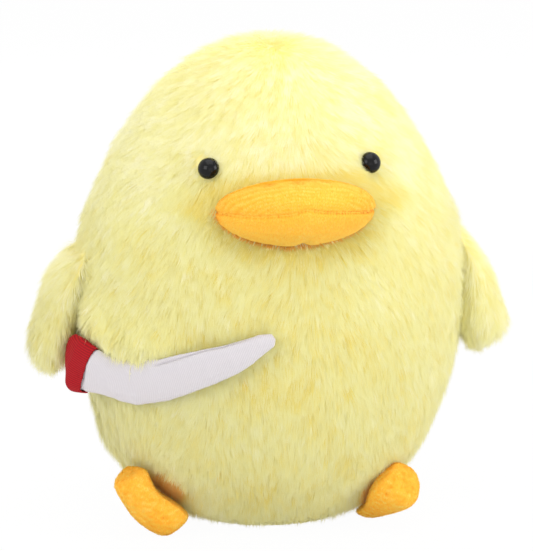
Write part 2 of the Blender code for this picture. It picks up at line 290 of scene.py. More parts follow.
def makeLamps(settings):
    for name, place, size, watts in settings["lamps"]:
        lamp = bpy.data.objects.new(name, bpy.data.lights.new(name, "AREA"))
        lamp.data.size = size
        lamp.data.energy = watts
        lamp.location = place
        lamp.rotation_euler = (Vector(place) - Vector(settings["lampAim"])).to_track_quat("Z", "Y").to_euler()
        scene.collection.objects.link(lamp)


makeFloor(studio)
makeBackdrop(studio)
makeLamps(studio)
print("studio lit")


# The body's shape

body = {
    "width": 0.228, "depth": 0.192, "height": 0.279, "pile": 0.0056, "basePileShare": 0.3,
    "rings": 44, "steps": 80, "mingle": 0.004,
    "bands": [("Lower", -1, 0.085), ("Middle", 0.085, 0.165), ("Upper", 0.165, 1)],  # heights of the pile's pieces
    "outline": [  # shares of the height and of the half width
        (0.0, 0.42), (0.03, 0.585), (0.08, 0.695), (0.15, 0.82), (0.25, 0.914),
        (0.35, 0.975), (0.47, 1.0), (0.60, 0.957), (0.70, 0.867), (0.80, 0.738),
        (0.88, 0.592), (0.94, 0.425), (0.98, 0.255), (0.995, 0.13), (1.0, 0.0),
    ],
    "bulges": [  # the body swells over the knife that is sewn to it: middle, reach, move
        ((-0.1010, -0.0300, 0.1290), 0.011, (-0.0045, -0.0022, 0)),
        ((-0.0965, -0.0390, 0.1260), 0.010, (-0.0034, -0.0024, 0)),
        ((-0.0905, -0.0482, 0.1225), 0.011, (-0.0036, -0.0030, 0)),
        ((-0.0821, -0.0580, 0.1200), 0.011, (-0.0032, -0.0033, 0)),
        ((-0.0735, -0.0655, 0.1195), 0.011, (-0.0022, -0.0028, 0)),
        ((-0.0645, -0.0718, 0.1215), 0.010, (-0.0008, -0.0013, 0)),
        ((-0.0860, 0.0100, 0.0440), 0.022, (-0.0045, 0, -0.0010)),  # and a little on its right flank
    ],
}


def makeBodySkin(settings, material):  # the backing cloth under the pile
    levels = (1 - np.cos(np.linspace(0, math.pi, settings["rings"]))) / 2
    halfWidths = readShare(settings["outline"], levels) * settings["width"] / 2
    bm = bmesh.new()
    turnRound(bm, [(0, 0)] + list(zip(halfWidths, levels * settings["height"])), settings["steps"])
    bmesh.ops.scale(bm, vec=(1, settings["depth"] / settings["width"], 1), verts=bm.verts)
    bmesh.ops.recalc_face_normals(bm, faces=bm.faces)
    bm.normal_update()
    for vertex, normal in [(v, v.normal.copy()) for v in bm.verts]:
        vertex.co -= normal * settings["pile"] * (1 if vertex.co.z > 0.001 else settings["basePileShare"])
    easeOnce(bm)
    piece = toObject("bodySkin", bm, material)
    refine(piece)
    reshape(piece, lambda points, normals: pushed(points, settings["bulges"]))
    return piece


def onBody(x, z):  # the point on the front of the pile at this place
    share = readShare(body["outline"], np.array([z]) / body["height"])[0]
    halfWidth, halfDepth = share * body["width"] / 2, share * body["depth"] / 2
    return Vector((x, -halfDepth * math.sqrt(max(1 - (x / halfWidth) ** 2, 0)), z))


def insideBody(points, grow=0.0):  # below 1 inside the pile's own outline
    half = np.maximum(readShare(body["outline"], points[:, 2] / body["height"]), 0.02)
    wide, deep = half * body["width"] / 2 + grow, half * body["depth"] / 2 + grow
    return np.hypot(points[:, 0] / wide, points[:, 1] / deep)


def nearBody(points, far, close):  # 1 by the body and 0 away from it, at these shares of its outline
    return smoothStep(-insideBody(points), -far, -close)


# Long pile: flat tapered strands, sown over a skin and combed in tufts

strandNature = {  # how far the strands of every pile wander from their settings
    "swirlSizes": (0.035, 0.011), "fineSwirl": 0.6,
    "tuftLength": 0.09, "length": 0.08, "patchLength": 0.07, "patchSize": 0.013, "lift": 0.07,
    "width": 0.15, "taper": 0.55,
    "tuftTint": 0.14, "tint": 0.10, "patchTint": 0.06, "tintPatchSize": 0.02,
    "palest": 0.02, "deepest": 0.98, "paintedOrange": 0.97,  # ends of the tints, and the orange tint that painted light and shade push a strand to
    "step": 0.02,  # share of a strand over which its direction is read
    "floor": 0.0004,  # no strand goes through what the duck sits on
    "mapWidth": 0.012, "mapStart": 0.01, "mapRun": 0.98,  # where a strand lies on the map
}


def strandShape(rows):  # one strand, X across and Y along it
    bm = bmesh.new()
    bmesh.ops.create_grid(bm, x_segments=1, y_segments=rows, size=0.5)
    bmesh.ops.translate(bm, vec=(0, 0.5, 0), verts=bm.verts)
    bmesh.ops.pointmerge(bm, verts=[v for v in bm.verts if v.co.y > 0.999], merge_co=(0, 1, 0))
    bm.verts.index_update()
    places = np.array([v.co[:] for v in bm.verts])
    faces = [[v.index for v in f.verts] for f in bm.faces]
    bm.free()
    return places, faces


def sow(skin, perSquareMm, rng):  # roots spread evenly over a skin, with its normals there
    mesh = skin.data
    mesh.calc_loop_triangles()
    tri = np.empty(len(mesh.loop_triangles) * 3, np.int32)
    mesh.loop_triangles.foreach_get("vertices", tri)
    tri = tri.reshape(-1, 3)
    co = corners(mesh)
    normals = np.empty(len(co) * 3, np.float32)
    mesh.vertex_normals.foreach_get("vector", normals)
    normals = normals.reshape(-1, 3).astype(float)
    area = np.linalg.norm(np.cross(co[tri[:, 1]] - co[tri[:, 0]], co[tri[:, 2]] - co[tri[:, 0]]), axis=1) / 2
    count = int(area.sum() * 1e6 * perSquareMm)
    picked = tri[rng.choice(len(tri), count, p=area / area.sum())]
    across, along = np.sqrt(rng.random(count)), rng.random(count)
    weights = np.stack([1 - across, across * (1 - along), across * along], 1)[:, :, None]
    return (co[picked] * weights).sum(1), unit((normals[picked] * weights).sum(1))


def nearestOf(places, points):
    tree = KDTree(len(places))
    for i, place in enumerate(places):
        tree.insert(place, i)
    tree.balance()
    return np.array([tree.find(point)[1] for point in points])


def growPile(skin, settings, comb, fit, seed):
    rng = np.random.default_rng(seed)
    nature = strandNature
    root, normal = sow(skin, settings["density"], rng)
    kept = rng.random(len(root)) < fit(root, normal)["keep"]
    root, normal = root[kept], normal[kept]
    tuftRoot = sow(skin, 1 / settings["tuft"] ** 2, rng)[0]
    mine = nearestOf(tuftRoot, root)
    count = len(root)

    def wild(amount):
        return rng.normal(0, amount, count)

    def tuftWild(amount):
        return rng.normal(0, amount, len(tuftRoot))[mine]

    nap = comb(root, normal)
    nap = unit(nap - normal * (nap * normal).sum(1, keepdims=True))
    wide, fine = nature["swirlSizes"]
    turn = settings["swirl"] * (ripple(root, wide, seed) + nature["fineSwirl"] * ripple(root, fine, seed + 1))
    turn = (turn + tuftWild(settings["tuftTurn"]) + wild(settings["turn"]))[:, None]
    nap = nap * np.cos(turn) + np.cross(normal, nap) * np.sin(turn)
    size = 1 + tuftWild(nature["tuftLength"]) + wild(nature["length"])
    size = size + nature["patchLength"] * ripple(root, nature["patchSize"], seed + 2)
    lift = settings["lift"] * size * (1 + wild(nature["lift"]))
    reach = settings["reach"] * size
    more = fit(root, normal)
    lift, reach = lift * more.get("lift", 1), reach * more.get("reach", 1)
    pull = (tuftRoot[mine] - root) * settings["pull"]
    pull = pull - normal * (pull * normal).sum(1, keepdims=True)

    def line(s):  # the strand's middle, a share of the way from root to tip
        rise = s * (1 + settings["bow"] * (1 - s))
        off = normal * (lift * rise)[:, None]
        along = nap * (reach * s ** settings["droop"])[:, None]
        return root + off + along + pull * s

    places, faces = strandShape(settings["rows"])
    roll = wild(settings["roll"])[:, None]
    width = settings["width"] * (1 + wild(nature["width"]))[:, None]
    spots = np.empty((count, len(places), 3))
    facing = np.empty_like(spots)
    for s in np.unique(places[:, 1].round(5)):
        way = unit(line(min(s + nature["step"], 1)) - line(max(s - nature["step"], 0)))
        across = unit(np.cross(way, normal))
        across = across * np.cos(roll) + np.cross(way, across) * np.sin(roll)
        for i in np.flatnonzero(abs(places[:, 1] - s) < 1e-4):
            spots[:, i] = line(s) + across * width * places[i, 0] * (1 - nature["taper"] * s * s)
            spots[:, i, 2] = np.maximum(spots[:, i, 2], nature["floor"])
            facing[:, i] = unit(normal * settings["even"] + np.cross(across, way) * (1 - settings["even"]))
    mottle = tuftWild(nature["tuftTint"]) + wild(nature["tint"])
    mottle = mottle + nature["patchTint"] * ripple(root, nature["tintPatchSize"], seed + 3)
    tint = settings["tint"] + settings["mottle"] * mottle + more.get("shade", 0)
    tint = np.clip(tint, nature["palest"], nature["deepest"])
    # painted orange light and shade by the bill and feet pull the tint towards orange
    tint = tint + (nature["paintedOrange"] - tint) * np.clip(more.get("glow", np.zeros(count)), 0, 1)
    return {"root": root, "spots": spots, "facing": facing, "tint": tint, "places": places, "faces": faces}


def pileObject(name, pile, chosen, material):
    spots, facing, tint = pile["spots"][chosen], pile["facing"][chosen], pile["tint"][chosen]
    count, each = spots.shape[:2]
    firsts = np.arange(count, dtype=np.int32)[:, None]
    loops = np.concatenate(pile["faces"])
    sizes = np.array([len(f) for f in pile["faces"]])
    starts = np.concatenate([[0], np.cumsum(sizes)[:-1]])
    mesh = bpy.data.meshes.new(name)
    mesh.vertices.add(count * each)
    mesh.vertices.foreach_set("co", spots.astype(np.float32).ravel())
    mesh.loops.add(count * len(loops))
    mesh.loops.foreach_set("vertex_index", (firsts * each + loops).ravel())
    mesh.polygons.add(count * len(sizes))
    mesh.polygons.foreach_set("loop_start", (firsts * len(loops) + starts).ravel())
    mesh.update(calc_edges=True)
    uv = np.empty((count, len(loops), 2), np.float32)
    uv[:, :, 0] = tint[:, None] + pile["places"][loops, 0] * strandNature["mapWidth"]
    uv[:, :, 1] = strandNature["mapStart"] + strandNature["mapRun"] * pile["places"][loops, 1]
    mesh.uv_layers.new(name="OFBake").uv.foreach_set("vector", uv.ravel())
    mesh.shade_smooth()
    mesh.normals_split_custom_set_from_vertices(facing.reshape(-1, 3))
    mesh.materials.append(material)
    made = bpy.data.objects.new(name, mesh)
    scene.collection.objects.link(made)
    return made


def wearPile(name, pile, material, bodyName, slotName, chosen=slice(None)):
    piece = pileObject(name, pile, chosen, material)
    piece.visible_shadow = False
    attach(piece, bodyName)
    print(name, len(piece.data.polygons), "faces")


def pileMaterial(name, settings):  # its map runs over the tints, and from root to tip; the roots are darker, painted shade in the crevices between strands
    material, tree, surface = newMaterial(name)
    laid = addNode(tree, "ShaderNodeUVMap", {"uv_map": "OFBake"})
    place = addNode(tree, "ShaderNodeSeparateXYZ", inputs={0: laid.outputs[0]})
    tip = addRamp(tree, place.outputs["X"], settings["stops"])
    rootShadeStops = [(at, tuple(c * r for c, r in zip(colour, settings["rootShade"]))) for at, colour in settings["stops"]]
    deep = addRamp(tree, place.outputs["X"], rootShadeStops)
    length = addNode(
        tree, "ShaderNodeMapRange", {"interpolation_type": "SMOOTHSTEP"},
        {"Value": place.outputs["Y"], "From Min": 0.15, "From Max": 0.9},
    )
    mix = addNode(tree, "ShaderNodeMix", {"data_type": "RGBA"}, {"Factor": length.outputs[0], 6: deep, 7: tip})
    tree.links.new(mix.outputs[2], surface.inputs["Base Color"])
    surface.inputs["Roughness"].default_value = settings["roughness"]
    surface.inputs["Specular IOR Level"].default_value = settings["gloss"]
    surface.inputs["Sheen Weight"].default_value = settings["sheen"]
    surface.inputs["Sheen Roughness"].default_value = settings["sheenRoughness"]
    lit = addNode(tree, "ShaderNodeBsdfTranslucent", inputs={"Color": mix.outputs[2]})  # light from behind
    mixToOutput(tree, settings["through"], surface.outputs[0], lit.outputs[0])
    return material


# The body's pile

yellowPile = {  # density in strands and tufts in mm, lift and reach are how far a tip stands off and lies along
    "density": 2.8, "tuft": 2.6, "lift": 0.0052, "reach": 0.0105, "width": 0.00036, "rows": 2, "roll": 0.15,
    "swirl": 0.18, "tuftTurn": 0.08, "turn": 0.10, "pull": 0.18, "even": 0.93, "tint": 0.27, "mottle": 0.52,
    "bow": 0.5, "droop": 1.1,
    "stops": [
        (0.0, srgb(245, 244, 222)), (0.3, srgb(240, 238, 190)),
        (0.6, srgb(238, 227, 141)), (1.0, srgb(253, 184, 72)),
    ],
    # rootShade: painted shade, how much darker a strand is at its root, for the crevices between strands
    "rootShade": (0.985, 0.955, 0.76),
    "roughness": 0.75, "gloss": 0.2, "sheen": 0.35, "sheenRoughness": 0.6, "through": 0.42,
}
bodyComb = {
    "parting": 0.06, "spread": (0.40, 0.92), "low": 0.15, "high": 1.15, "sweepBack": 0.6, "easeDown": 0.5,
    "under": (0.85, 0.97),
    "shoulder": (0.165, 0.022), "shoulderSide": (0.085, 0.102), "leftShoulder": 0.8, "rightShoulder": -0.2,
}


def combBody(points, normals):  # away from the middle seams high up, straight down lower
    comb = bodyComb
    x, y, z = points.T
    spread = smoothStep(z / body["height"], *comb["spread"])
    under = smoothStep(-normals[:, 2], *comb["under"])
    shoulder = hill(z, *comb["shoulder"]) * smoothStep(abs(x), *comb["shoulderSide"])
    shoulder = shoulder * np.where(x > 0, comb["leftShoulder"], comb["rightShoulder"])
    sideways = np.clip(x / comb["parting"], -1, 1) * (comb["low"] + comb["high"] * spread) + shoulder
    back = comb["sweepBack"] * spread * y / comb["parting"]
    flow = np.stack([sideways, back, -(1.0 - comb["easeDown"] * spread)], 1)
    outwards = np.stack([x, y, 0 * z], 1) / comb["parting"]
    return flow * (1 - under)[:, None] + outwards * under[:, None]


eye = {
    "spacing": 0.0902, "height": 0.2148, "radius": 0.0059, "dome": 0.0052, "sink": 0.0018,
    "rings": 14, "steps": 48,
    "backShares": [(0.97, -0.0004), (0.6, -0.0008)],  # share of the radius, height
    "stem": [(0.002, -0.0008), (0.002, -0.0093), (0, -0.0095)],
    "colour": srgb(9, 9, 10), "roughness": 0.16, "gloss": 0.25,
}
bill = {"width": 0.0885, "height": 0.1940, "rise": 0.0172, "drop": 0.0205}
bodyFit = {  # distances from the bill and the eyes are shares of their outlines
    "billEdge": 0.90, "below": (1.0, 1.25), "belowShorter": 0.72, "belowFlatter": 0.25,
    # painted orange light in the pile above the bill and painted orange shade under it: amount, then the shares of
    # the bill's outline where it starts and where it is full
    "billLightAbove": (0.45, 1.60, 1.10), "billShadeBelow": (0.90, 1.03, 0.96), "billShadeFringe": (0.35, 1.35, 1.0),
    "eyeShift": (0.0012, 0.0010), "eyeEdge": 0.88, "eyeNear": (1.1, 2.2), "eyeShorter": 0.45, "eyeFlatter": 0.40,
    "shoulder": (0.178, 0.014), "shoulderSide": (0.08, 0.1), "shoulderLift": 0.5,
    "whorl": 0.012, "whorlHeights": (0.2, 0.25), "whorlShorter": 0.4, "whorlFlatter": 0.1, "whorlPale": 0.1,
    "under": (0.6, 0.95), "underFlatter": 0.75,
    # painted shade: a deeper yellow low on the front, most under the bill; painted light: paler towards the top
    "paintedShading": 0.02, "paintedShadeFront": 0.08, "paintedShadeWidth": 0.06, "paintedShadeHeights": (0.15, 0.20),
    "pale": 0.10, "paintedLightHeights": (0.17, 0.21),
    # painted orange bounce light in the pile round the feet: amount, and the share of the reach where it is full
    "ankleBounce": 0.75, "ankleCore": 0.7,
    "ankles": [((0.055, -0.046, 0.028), 0.016), ((-0.068, -0.044, 0.030), 0.016)],  # middle, reach
}


def offTheBill(x, z):  # 1 on the bill's outline
    lip = np.where(z > bill["height"], bill["rise"], bill["drop"])
    return np.hypot(x / (bill["width"] / 2), (z - bill["height"]) / lip)


def fitBody(points, normals):  # how the pile gives way to the bill, eyes, floor and feet, and where painted light and shade tint it
    fit = bodyFit
    x, y, z = points.T
    front, above = y < 0, z > bill["height"]
    nowhereNear = 9
    offBill = np.where(front, offTheBill(x, z), nowhereNear)
    keep = (offBill > fit["billEdge"]).astype(float)
    reach, lift = np.ones(len(x)), np.ones(len(x))
    for side in (-1, 1):  # the strands flow outwards, so those on the inner side would cover the bead
        aside, up = fit["eyeShift"]
        offEye = np.hypot(x - side * (eye["spacing"] / 2 - aside), z - eye["height"] - up) / eye["radius"]
        offEye = np.where(front, offEye, nowhereNear)
        keep *= offEye > fit["eyeEdge"]
        near = 1 - smoothStep(offEye, *fit["eyeNear"])
        reach *= 1 - fit["eyeShorter"] * near
        lift *= 1 - fit["eyeFlatter"] * near
    shoulder = hill(z, *fit["shoulder"]) * smoothStep(abs(x), *fit["shoulderSide"])
    whorl = hill(np.hypot(x, y), 0, fit["whorl"]) * smoothStep(z, *fit["whorlHeights"])
    under = smoothStep(-normals[:, 2], *fit["under"])
    reach *= 1 - fit["whorlShorter"] * whorl
    lift *= (1 - fit["whorlFlatter"] * whorl) * (1 - fit["underFlatter"] * under)
    lift *= 1 + shoulder * np.where(x > 0, fit["shoulderLift"], 0)
    # painted shade low on the front and under the bill, less painted light towards the top
    paintedShading = fit["paintedShading"] + fit["paintedShadeFront"] * hill(x, 0, fit["paintedShadeWidth"]) * front
    paintedShading = paintedShading * (1 - smoothStep(z, *fit["paintedShadeHeights"])) - fit["pale"] * smoothStep(z, *fit["paintedLightHeights"])
    # painted orange light above the bill, painted orange shade under it
    (high, highFrom, highTo), (low, lowFrom, lowTo) = fit["billLightAbove"], fit["billShadeBelow"]
    glow = smoothStep(-offBill, np.where(above, -highFrom, -lowFrom), np.where(above, -highTo, -lowTo))
    glow = np.where(above, high, low) * glow
    fringeShade, fringeFrom, fringeTo = fit["billShadeFringe"]
    glow = np.maximum(glow, fringeShade * (1 - above) * smoothStep(-offBill, -fringeFrom, -fringeTo))
    below = (1 - above) * (1 - smoothStep(offBill, *fit["below"]))  # short, so that only a rim of the painted orange shade shows
    reach *= 1 - fit["belowShorter"] * below
    lift *= 1 - fit["belowFlatter"] * below
    for middle, size in fit["ankles"]:  # painted orange light bounced off the feet, in the pile round them
        away = np.linalg.norm(points - np.array(middle), axis=1)
        glow = np.maximum(glow, fit["ankleBounce"] * (1 - smoothStep(away, size * fit["ankleCore"], size)))
    return {"keep": keep, "reach": reach, "lift": lift, "glow": glow, "shade": paintedShading - fit["whorlPale"] * whorl}


furYellow = pileMaterial("yellowPile", yellowPile)
backing = clothMaterial("pileBacking", srgb(247, 236, 168))
bodySkin = makeBodySkin(body, backing)
pile = growPile(bodySkin, yellowPile, combBody, fitBody, seed=3)
blur = np.random.default_rng(9).normal(0, body["mingle"], pile["root"].shape)  # the pieces mingle at their edges
x, y, z = (pile["root"] + blur).T
for upName, low, high in body["bands"]:
    for endName, end in (("Front", -1), ("Back", 1)):
        for sideName, side in (("Left", 1), ("Right", -1)):
            chosen = (z >= low) & (z < high) & (y * end >= 0) & (x * side > 0)
            wearPile(f"pile{endName}{sideName}{upName}", pile, furYellow, "torso", "yellow_fur", chosen)
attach(bodySkin, "torso")
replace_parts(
    bodySkin, "body_front_left", "body_front_right", "body_back_left", "body_back_right", "body_base", "body_stuffing"
)
print("body pile grown")


# Stuffed pieces

padCloth = {"quality": 6, "mass": 0.15}


def cadCopy(name, nodes, material, voxel):  # the CAD panels and their filling as one closed skin
    bm = bmesh.new()
    for node in nodes:
        bm.from_mesh(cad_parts[node].data)
    bmesh.ops.remove_doubles(bm, verts=bm.verts, dist=mergeGap)
    piece = toObject(name, bm, material)
    remesh = piece.modifiers.new("Remesh", "REMESH")
    remesh.mode = "VOXEL"
    remesh.voxel_size = voxel
    remesh.use_smooth_shade = True
    return applyModifiers(piece)


def swell(piece, settings):  # fills the skin by pressure, as stuffing does, no further than a set distance
    start = corners(piece.data)
    cloth = piece.modifiers.new("Cloth", "CLOTH")
    cloth.settings.quality = padCloth["quality"]
    cloth.settings.mass = padCloth["mass"]
    cloth.settings.tension_stiffness = cloth.settings.compression_stiffness = settings["stretch"]
    cloth.settings.bending_stiffness = settings["bend"]
    cloth.settings.use_pressure = True
    cloth.settings.uniform_pressure_force = settings["pressure"]
    cloth.settings.effector_weights.gravity = 0
    cloth.collision_settings.use_collision = False
    cloth.point_cache.frame_end = settings["frames"]
    for step in range(1, settings["frames"] + 1):
        scene.frame_set(step)
    applyModifiers(piece)
    scene.frame_set(1)
    moved = corners(piece.data) - start
    far = np.linalg.norm(moved, axis=1, keepdims=True)
    held = start + moved * np.minimum(1, settings["cap"] / np.maximum(far, 1e-9))
    piece.data.vertices.foreach_set("co", held.astype(np.float32).ravel())
    piece.data.update()


# Wings

wing = {
    "voxel": 0.003, "inset": 0.0026, "ease": 30,
    "swell": {"stretch": 12, "bend": 0.4, "pressure": 3, "frames": 12, "cap": 0.002},
    "pile": dict(yellowPile, lift=0.0046, reach=0.0095, swirl=0.22),
    "slim": [(0.090, 0.0010), (0.105, 0.0030), (0.125, 0.0045), (0.145, 0.0060), (0.158, 0.0085), (0.170, 0.0110)],
    "outerFrom": 0.110, "outerRun": 0.024, "rootSlim": 0.0045, "rootHeights": (0.13, 0.16),
    "shoulder": 0.171, "tipRun": (0.02, 0.09), "splay": 0.15, "fan": 0.2, "halfChord": 0.03,
    # painted shade near the body on each side, and painted light towards the top
    "tuck": 0.002, "near": (1.14, 1.0), "leftShade": 0.06, "rightShade": 0.28, "shadeHeights": (0.125, 0.145),
    "pale": 0.04, "paintedLightTop": 0.12, "paintedLightHeights": (0.12, 0.16),
    "pushes": {
        "left": [  # the tip is cut off at a slant, and the front swells towards the body
            ((0.134, 0, 0.092), (0.018, 0.035, 0.018), (0.0008, 0, 0.0150)),
            ((0.112, -0.004, 0.084), (0.014, 0.030, 0.014), (-0.0020, -0.0020, -0.0200)),
            ((0.112, -0.014, 0.132), 0.016, (-0.0070, -0.0160, 0)),
            ((0.116, -0.012, 0.107), 0.018, (-0.0100, -0.0170, 0)),
        ],
        "right": [
            ((-0.125, 0, 0.090), 0.016, (0.001, 0, 0.0095)),
            ((-0.118, 0, 0.160), 0.014, (0.0030, 0, -0.0010)),
            ((-0.134, 0, 0.100), 0.010, (-0.0035, 0, 0)),
            ((-0.110, -0.016, 0.152), 0.014, (0.0025, -0.0070, 0)),
            ((-0.112, -0.016, 0.133), 0.014, (0.0025, -0.0080, 0)),
        ],
    },
}


def combWing(side):  # down the flipper, a little out towards its tip and edges
    def comb(points, normals):
        out = smoothStep(wing["shoulder"] - points[:, 2], *wing["tipRun"])
        fore = points[:, 1] / wing["halfChord"]
        return np.stack([side * wing["splay"] * out, wing["fan"] * fore * out, -np.ones(len(points))], 1)
    return comb


def fitWing(points, normals):  # painted shade: deeper yellow where it lies near the body, in the crease; painted light: paler at the top
    x, y, z = points.T
    shade = np.where(x > 0, wing["leftShade"], wing["rightShade"]) * nearBody(points, *wing["near"])
    shade = shade * (1 - smoothStep(z, *wing["shadeHeights"])) - wing["pale"]
    shade = shade - wing["paintedLightTop"] * smoothStep(z, *wing["paintedLightHeights"])
    return {"keep": insideBody(points, -wing["tuck"]) > 1.0, "shade": shade}


def shapeWing(sideName, side):  # slimmer than the CAD solid by the pile, and pushed to the photographed outline
    def shift(points, normals):
        x, y, z = points.T
        outer = np.clip((abs(x) - wing["outerFrom"]) / wing["outerRun"], 0, 1)
        slim = readShare(wing["slim"], z) * outer
        slim = slim + wing["rootSlim"] * smoothStep(z, *wing["rootHeights"]) * (1 - outer)
        moves = pushed(points, wing["pushes"][sideName]) - normals * wing["inset"]
        return moves - np.stack([side * slim, 0 * slim, 0 * slim], 1)
    return shift


for sideName, side in (("left", 1), ("right", -1)):
    nodes = [f"{sideName}_wing_{part}" for part in ("outer", "inner", "stuffing")]
    skin = cadCopy(f"{sideName}WingSkin", nodes, backing, wing["voxel"])
    swell(skin, wing["swell"])
    reshape(skin, shapeWing(sideName, side), wing["ease"])
    wingPile = growPile(skin, wing["pile"], combWing(side), fitWing, seed=20 + side)
    wearPile(f"{sideName}WingPile", wingPile, furYellow, f"{sideName}_wing", "yellow_fur")
    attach(skin, f"{sideName}_wing")
    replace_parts(skin, *nodes)
print("wings made")


# Eyes: a bead with a dome, and a stem that goes through the cloth

def makeEye(name, side, settings, material):
    place = onBody(side * settings["spacing"] / 2, settings["height"])
    radius = settings["radius"]
    along = onBody(place.x + radius, place.z) - onBody(place.x - radius, place.z)
    up = onBody(place.x, place.z + radius) - onBody(place.x, place.z - radius)
    out = along.cross(up).normalized()
    turns = [math.pi / 2 * i / settings["rings"] for i in range(settings["rings"] + 1)]
    outline = [(radius * math.sin(t), settings["dome"] * math.cos(t)) for t in turns]
    outline += [(radius * share, height) for share, height in settings["backShares"]] + settings["stem"]
    bm = bmesh.new()
    turnRound(bm, outline, settings["steps"])
    bmesh.ops.recalc_face_normals(bm, faces=bm.faces)
    turned = out.to_track_quat("Z", "Y").to_matrix().to_4x4()
    bm.transform(Matrix.Translation(place - out * settings["sink"]) @ turned)
    piece = toObject(name, bm, material)
    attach(piece, "torso")
    return piece


bead, tree, surface = newMaterial("blackBead")
surface.inputs["Base Color"].default_value = (*eye["colour"], 1)
surface.inputs["Roughness"].default_value = eye["roughness"]
surface.inputs["Specular IOR Level"].default_value = eye["gloss"]
for sideName, side in (("left", 1), ("right", -1)):
    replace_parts(makeEye(f"{sideName}Eye", side, eye, bead), f"{sideName}_eye")
print("eyes set")


# Bill

billCloth = {
    "voxel": 0.0016, "ease": 2, "inset": 0.0006, "colour": srgb(250, 196, 70),
    "mouth": [  # the mouth line, x and z
        (-0.0430, 0.1935), (-0.0366, 0.1946), (-0.0266, 0.1953), (-0.0165, 0.1967), (-0.0064, 0.1981),
        (-0.0034, 0.1993), (-0.0002, 0.2000), (0.0041, 0.1993), (0.0131, 0.1977), (0.0212, 0.1968),
        (0.0295, 0.1952), (0.0430, 0.1920),
    ],
    "seamDepth": 0.0008, "seamWidth": 0.0011,
    "tuckDepth": 0.0016, "tuck": (0.001, 0.003), "tuckHeights": (0.010, 0.018),
    "swell": {"stretch": 15, "bend": 0.5, "pressure": 4, "frames": 14, "cap": 0.0012},
    "nap": dict(
        yellowPile, density=6.5, tuft=1.0, lift=0.0006, reach=0.0011, width=0.00026, rows=2, roll=0.3,
        swirl=0.25, tuftTurn=0.2, turn=0.25, pull=0.2, tint=0.28, mottle=0.38,
        stops=[
            (0.0, srgb(255, 240, 136)), (0.3, srgb(255, 222, 88)),
            (0.6, srgb(254, 200, 58)), (1.0, srgb(218, 130, 30)),
        ],
        # painted shade at the roots, as in the body's pile
        rootShade=(0.98, 0.90, 0.72), sheen=0.12,
    ),
    "tuckIn": 0.004, "upper": (-0.001, 0.002), "rowPitch": 0.0013, "rowWave": 1.7, "rowWaveSize": 0.007,
    "rowShade": 0.13, "lowerPale": 0.02, "combSpread": 0.06,
    "seamShade": 0.85, "seamShadeWidth": 0.0006, "stitchPitch": 0.0017, "strongSide": (-0.004, 0.006),
    # painted shade round the rim, where the bill meets the body and at its edge
    "rimByBody": (1.045, 0.985), "rimByEdge": (0.90, 1.02), "rimShadeAbove": 0.15, "rimShadeBelow": 0.45,
}


def seamHeight(x):
    return readShare(billCloth["mouth"], x)


def fitBill(points, normals):  # rows of nap over the upper lip, a stitched mouth line, and painted shade round the rim, heavier underneath
    cloth = billCloth
    x, y, z = points.T
    upper = smoothStep(z - seamHeight(x), *cloth["upper"])
    ring = offTheBill(x, z)
    waver = cloth["rowWave"] * ripple(points, cloth["rowWaveSize"], 5)
    rows = np.sin(ring * bill["rise"] / cloth["rowPitch"] * 2 * math.pi + waver)
    seam = hill(z, seamHeight(x), cloth["seamShadeWidth"])
    stitches = 0.55 + 0.45 * np.sin(x / cloth["stitchPitch"] * 2 * math.pi + ripple(points, 0.01, 6))
    strong = 0.6 + 0.4 * smoothStep(x, *cloth["strongSide"])  # the stitches show more on the duck's left
    # painted shade where the bill meets the body and round its edge
    rim = np.maximum(nearBody(points, *cloth["rimByBody"]), smoothStep(ring, *cloth["rimByEdge"]))
    shade = cloth["rowShade"] * rows * upper - cloth["lowerPale"] * (1 - upper)
    shade = shade + cloth["seamShade"] * seam * stitches * strong
    shade = shade + np.where(z > bill["height"], cloth["rimShadeAbove"], cloth["rimShadeBelow"]) * rim
    return {"keep": insideBody(points, -cloth["tuckIn"]) > 1.0, "shade": shade}


def combBill(points, normals):  # outwards from the mouth line
    up = np.sign(points[:, 2] - seamHeight(points[:, 0]))
    return np.stack([points[:, 0] / billCloth["combSpread"], 0 * up, up], 1)


def sewBill(points, normals):  # the mouth seam, and the tuck under the chin
    x, y, z = points.T
    groove = billCloth["seamDepth"] * hill(z, seamHeight(x), billCloth["seamWidth"])
    tuck = billCloth["tuckDepth"] * hill(x, *billCloth["tuck"])
    tuck = tuck * smoothStep(bill["height"] - z, *billCloth["tuckHeights"])
    return -normals * (billCloth["inset"] + groove + tuck)[:, None]


orangeCloth = clothMaterial("billCloth", billCloth["colour"])
orangeNap = pileMaterial("orangeNap", billCloth["nap"])
billSkin = cadCopy("billSkin", ("bill_upper", "bill_lower", "bill_stuffing"), orangeCloth, billCloth["voxel"])
swell(billSkin, billCloth["swell"])
reshape(billSkin, lambda points, normals: 0 * points, billCloth["ease"])
refine(billSkin)
reshape(billSkin, sewBill)
napPile = growPile(billSkin, billCloth["nap"], combBill, fitBill, seed=31)
wearPile("billNap", napPile, orangeNap, "torso", "orange_bill")
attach(billSkin, "torso")
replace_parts(billSkin, "bill_upper", "bill_lower", "bill_stuffing")
print("bill sewn")


# Feet

